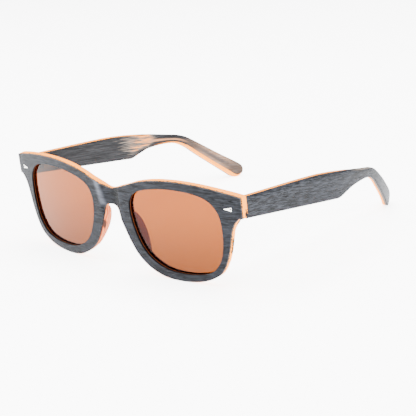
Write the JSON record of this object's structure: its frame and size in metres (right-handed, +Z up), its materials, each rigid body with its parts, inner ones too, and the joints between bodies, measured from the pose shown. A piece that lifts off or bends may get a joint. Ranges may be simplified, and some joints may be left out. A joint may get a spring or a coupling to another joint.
{
  "type": "wooden sunglasses",
  "caption": "Sunglasses with a bent, layered wood front, tinted lenses, built-up nose pads and folding layered wood temples on spring hinges.",
  "frame": {"origin": "middle of the part's footprint on the table it stands on", "axes": "+Z up, lenses facing -Y, temples running to +Y, +X to the wearer's left"},
  "size_m": [0.145, 0.1552, 0.0486],
  "materials": {
    "charcoal_veneer": "open-grain charcoal veneer, matt",
    "pale_wood": "sanded pale tan wood, satin",
    "pad_wood": "sanded rosy tan layered wood, satin",
    "lens": "brown tinted lens, polished",
    "bright_metal": "polished",
    "hinge_metal": "fine brushed",
    "spring_steel": "plain"
  },
  "bodies": {
    "front": {"front_face": "charcoal_veneer", "front_core": "pale_wood", "front_back": "charcoal_veneer", "lens_left": "lens", "lens_right": "lens", "nose_pad_left": "pad_wood", "nose_pad_right": "pad_wood", "rivet_left": "bright_metal", "rivet_right": "bright_metal", "front_leaf_left": "hinge_metal", "front_leaf_right": "hinge_metal", "hinge_screw_left": "hinge_metal", "hinge_screw_right": "hinge_metal"},
    "eye_left": {"hinge_eye_left": "hinge_metal", "rod_nut_left": "hinge_metal"},
    "temple_left": {"spring_left": "spring_steel", "housing_left": "hinge_metal", "housing_cap_left": "hinge_metal", "housing_screw_left": "hinge_metal", "temple_outer_left": "charcoal_veneer", "temple_middle_left": "pale_wood", "temple_dark_left": "charcoal_veneer", "temple_pale_left": "pale_wood", "temple_inner_left": "charcoal_veneer"},
    "eye_right": {"hinge_eye_right": "hinge_metal", "rod_nut_right": "hinge_metal"},
    "temple_right": {"spring_right": "spring_steel", "housing_right": "hinge_metal", "housing_cap_right": "hinge_metal", "housing_screw_right": "hinge_metal", "temple_outer_right": "charcoal_veneer", "temple_middle_right": "pale_wood", "temple_dark_right": "charcoal_veneer", "temple_pale_right": "pale_wood", "temple_inner_right": "charcoal_veneer"}
  },
  "joints": [
    {"name": "temple_fold_left", "type": "hinge", "parent": "front", "child": "eye_left", "pos_m": [0.065, -0.06241, 0.03872], "axis": [0, 0, 1], "range_deg": [0, 85]},
    {"name": "spring_pull_left", "type": "slide", "parent": "eye_left", "child": "temple_left", "axis": [0, 0.9916, -0.1296], "range_m": [0, 0.0022], "stiffness_N_per_m": 1500, "springref_m": -0.002},
    {"name": "temple_fold_right", "type": "hinge", "parent": "front", "child": "eye_right", "pos_m": [-0.065, -0.06241, 0.03872], "axis": [0, 0, -1], "range_deg": [0, 70]},
    {"name": "spring_pull_right", "type": "slide", "parent": "eye_right", "child": "temple_right", "axis": [0, 0.9916, -0.1296], "range_m": [0, 0.0022], "stiffness_N_per_m": 1500, "springref_m": -0.002}
  ]
}
